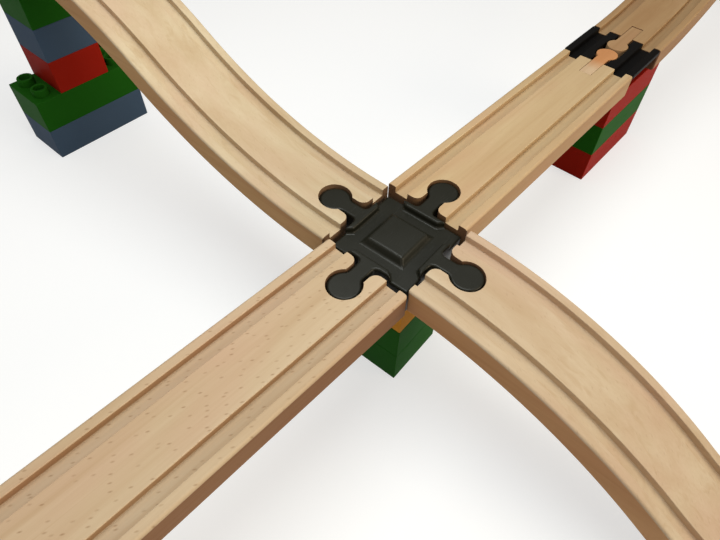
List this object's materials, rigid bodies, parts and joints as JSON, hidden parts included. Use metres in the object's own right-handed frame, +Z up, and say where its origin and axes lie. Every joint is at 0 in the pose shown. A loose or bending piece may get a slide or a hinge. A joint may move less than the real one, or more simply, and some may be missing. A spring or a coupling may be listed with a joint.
{
  "type": "wooden train set",
  "caption": "Raised crossing of grooved wooden toy train tracks: a black hub with round knobs joins level tracks and ramps, carried by piers of studded building bricks.",
  "frame": {"origin": "centre of the crossing hub's raised pad, 73.3 mm above the floor", "axes": "+X out along the hub's east arm, towards the track that climbs; +Y out along the hub's north arm; +Z up"},
  "size_m": [0.734, 0.5236, 0.1317],
  "materials": {
    "beech": "smooth, lightly sealed beech",
    "peg_beech": "smooth beech",
    "peg_amber": "stained wood",
    "hub_black": "printed plastic, satin",
    "brick_red": "glossy moulded plastic",
    "brick_green": "glossy moulded plastic",
    "brick_blue": "glossy moulded plastic",
    "brick_yellow": "glossy moulded plastic"
  },
  "bodies": {
    "centre_brick_1": {"centre_brick_1": "brick_green"},
    "centre_brick_2": {"centre_brick_2": "brick_green"},
    "centre_brick_3": {"centre_brick_3": "brick_yellow"},
    "crossing_hub": {"crossing_hub": "hub_black"},
    "south_track": {"south_track": "beech", "south_peg": "peg_beech"},
    "west_brick_1": {"west_brick_1": "brick_blue"},
    "west_brick_2": {"west_brick_2": "brick_red"},
    "west_brick_3": {"west_brick_3": "brick_green"},
    "west_adapter": {"west_adapter": "hub_black"},
    "west_track": {"west_track": "beech", "west_peg": "peg_beech"},
    "north_brick_1": {"north_brick_1": "brick_blue"},
    "north_brick_2": {"north_brick_2": "brick_green"},
    "north_brick_3": {"north_brick_3": "brick_red"},
    "north_brick_4": {"north_brick_4": "brick_blue"},
    "north_brick_5": {"north_brick_5": "brick_green"},
    "north_brick_6": {"north_brick_6": "brick_red"},
    "north_adapter": {"north_adapter": "hub_black"},
    "north_track": {"north_track": "beech", "north_peg": "peg_beech"},
    "east_brick_1": {"east_brick_1": "brick_red", "far_brick_1": "brick_green"},
    "east_brick_2": {"east_brick_2": "brick_green"},
    "east_brick_3": {"east_brick_3": "brick_red"},
    "east_adapter": {"east_adapter": "hub_black"},
    "east_track": {"east_track": "beech", "east_peg": "peg_amber"},
    "climb_track": {"climb_track": "beech", "climb_peg": "peg_beech"},
    "far_brick_2": {"far_brick_2": "brick_blue"},
    "far_brick_3": {"far_brick_3": "brick_red"},
    "far_brick_4": {"far_brick_4": "brick_yellow"},
    "far_brick_5": {"far_brick_5": "brick_green"},
    "far_brick_6": {"far_brick_6": "brick_red"},
    "far_hub": {"far_hub": "hub_black"}
  },
  "joints": [
    {"name": "centre_brick_2_lift", "type": "slide", "parent": "centre_brick_1", "child": "centre_brick_2", "axis": [0, 0, 1], "range_m": [0, 0.02]},
    {"name": "centre_brick_3_lift", "type": "slide", "parent": "centre_brick_2", "child": "centre_brick_3", "axis": [0, 0, 1], "range_m": [0, 0.02]},
    {"name": "crossing_hub_lift", "type": "slide", "parent": "centre_brick_3", "child": "crossing_hub", "axis": [0, 0, 1], "range_m": [0, 0.02]},
    {"name": "south_track_swivel", "type": "hinge", "parent": "crossing_hub", "child": "south_track", "pos_m": [0, -0.0318, -0.0052], "axis": [0, 0, 1], "range_deg": [-2.24, 6.76]},
    {"name": "west_line_swivel", "type": "hinge", "parent": "centre_brick_1", "child": "west_brick_1", "pos_m": [-0.0318, 0, -0.0052], "axis": [0, 0, 1], "range_deg": [-0.67, 8.33]},
    {"name": "west_brick_2_lift", "type": "slide", "parent": "west_brick_1", "child": "west_brick_2", "axis": [0, 0, 1], "range_m": [0, 0.02]},
    {"name": "west_brick_3_lift", "type": "slide", "parent": "west_brick_2", "child": "west_brick_3", "axis": [0, 0, 1], "range_m": [0, 0.02]},
    {"name": "west_adapter_lift", "type": "slide", "parent": "west_brick_3", "child": "west_adapter", "axis": [0, 0, 1], "range_m": [0, 0.02]},
    {"name": "west_track_lift", "type": "slide", "parent": "west_adapter", "child": "west_track", "axis": [0, 0, 1], "range_m": [0, 0.02]},
    {"name": "north_line_swivel", "type": "hinge", "parent": "centre_brick_1", "child": "north_brick_1", "pos_m": [0, 0.0318, -0.0052], "axis": [0, 0, 1], "range_deg": [-2.91, 6.09]},
    {"name": "north_brick_2_lift", "type": "slide", "parent": "north_brick_1", "child": "north_brick_2", "axis": [0, 0, 1], "range_m": [0, 0.02]},
    {"name": "north_brick_3_lift", "type": "slide", "parent": "north_brick_2", "child": "north_brick_3", "axis": [0, 0, 1], "range_m": [0, 0.02]},
    {"name": "north_brick_4_lift", "type": "slide", "parent": "north_brick_3", "child": "north_brick_4", "axis": [0, 0, 1], "range_m": [0, 0.02]},
    {"name": "north_brick_5_lift", "type": "slide", "parent": "north_brick_4", "child": "north_brick_5", "axis": [0, 0, 1], "range_m": [0, 0.02]},
    {"name": "north_brick_6_lift", "type": "slide", "parent": "north_brick_5", "child": "north_brick_6", "axis": [0, 0, 1], "range_m": [0, 0.02]},
    {"name": "north_adapter_lift", "type": "slide", "parent": "north_brick_6", "child": "north_adapter", "axis": [0, 0, 1], "range_m": [0, 0.02]},
    {"name": "north_track_lift", "type": "slide", "parent": "north_adapter", "child": "north_track", "axis": [0, 0, 1], "range_m": [0, 0.02]},
    {"name": "east_line_swivel", "type": "hinge", "parent": "centre_brick_1", "child": "east_brick_1", "pos_m": [0.0318, 0, -0.0052], "axis": [0, 0, 1], "range_deg": [-1.77, 7.23]},
    {"name": "east_brick_2_lift", "type": "slide", "parent": "east_brick_1", "child": "east_brick_2", "axis": [0, 0, 1], "range_m": [0, 0.02]},
    {"name": "east_brick_3_lift", "type": "slide", "parent": "east_brick_2", "child": "east_brick_3", "axis": [0, 0, 1], "range_m": [0, 0.02]},
    {"name": "east_adapter_lift", "type": "slide", "parent": "east_brick_3", "child": "east_adapter", "axis": [0, 0, 1], "range_m": [0, 0.02]},
    {"name": "east_track_lift", "type": "slide", "parent": "east_adapter", "child": "east_track", "axis": [0, 0, 1], "range_m": [0, 0.02]},
    {"name": "climb_track_lift", "type": "slide", "parent": "east_adapter", "child": "climb_track", "axis": [0, 0, 1], "range_m": [0, 0.02]},
    {"name": "far_brick_2_lift", "type": "slide", "parent": "east_brick_1", "child": "far_brick_2", "axis": [0, 0, 1], "range_m": [0, 0.02]},
    {"name": "far_brick_3_lift", "type": "slide", "parent": "far_brick_2", "child": "far_brick_3", "axis": [0, 0, 1], "range_m": [0, 0.02]},
    {"name": "far_brick_4_lift", "type": "slide", "parent": "far_brick_3", "child": "far_brick_4", "axis": [0, 0, 1], "range_m": [0, 0.02]},
    {"name": "far_brick_5_lift", "type": "slide", "parent": "far_brick_4", "child": "far_brick_5", "axis": [0, 0, 1], "range_m": [0, 0.02]},
    {"name": "far_brick_6_lift", "type": "slide", "parent": "far_brick_5", "child": "far_brick_6", "axis": [0, 0, 1], "range_m": [0, 0.02]},
    {"name": "far_hub_lift", "type": "slide", "parent": "far_brick_6", "child": "far_hub", "axis": [0, 0, 1], "range_m": [0, 0.02]}
  ]
}
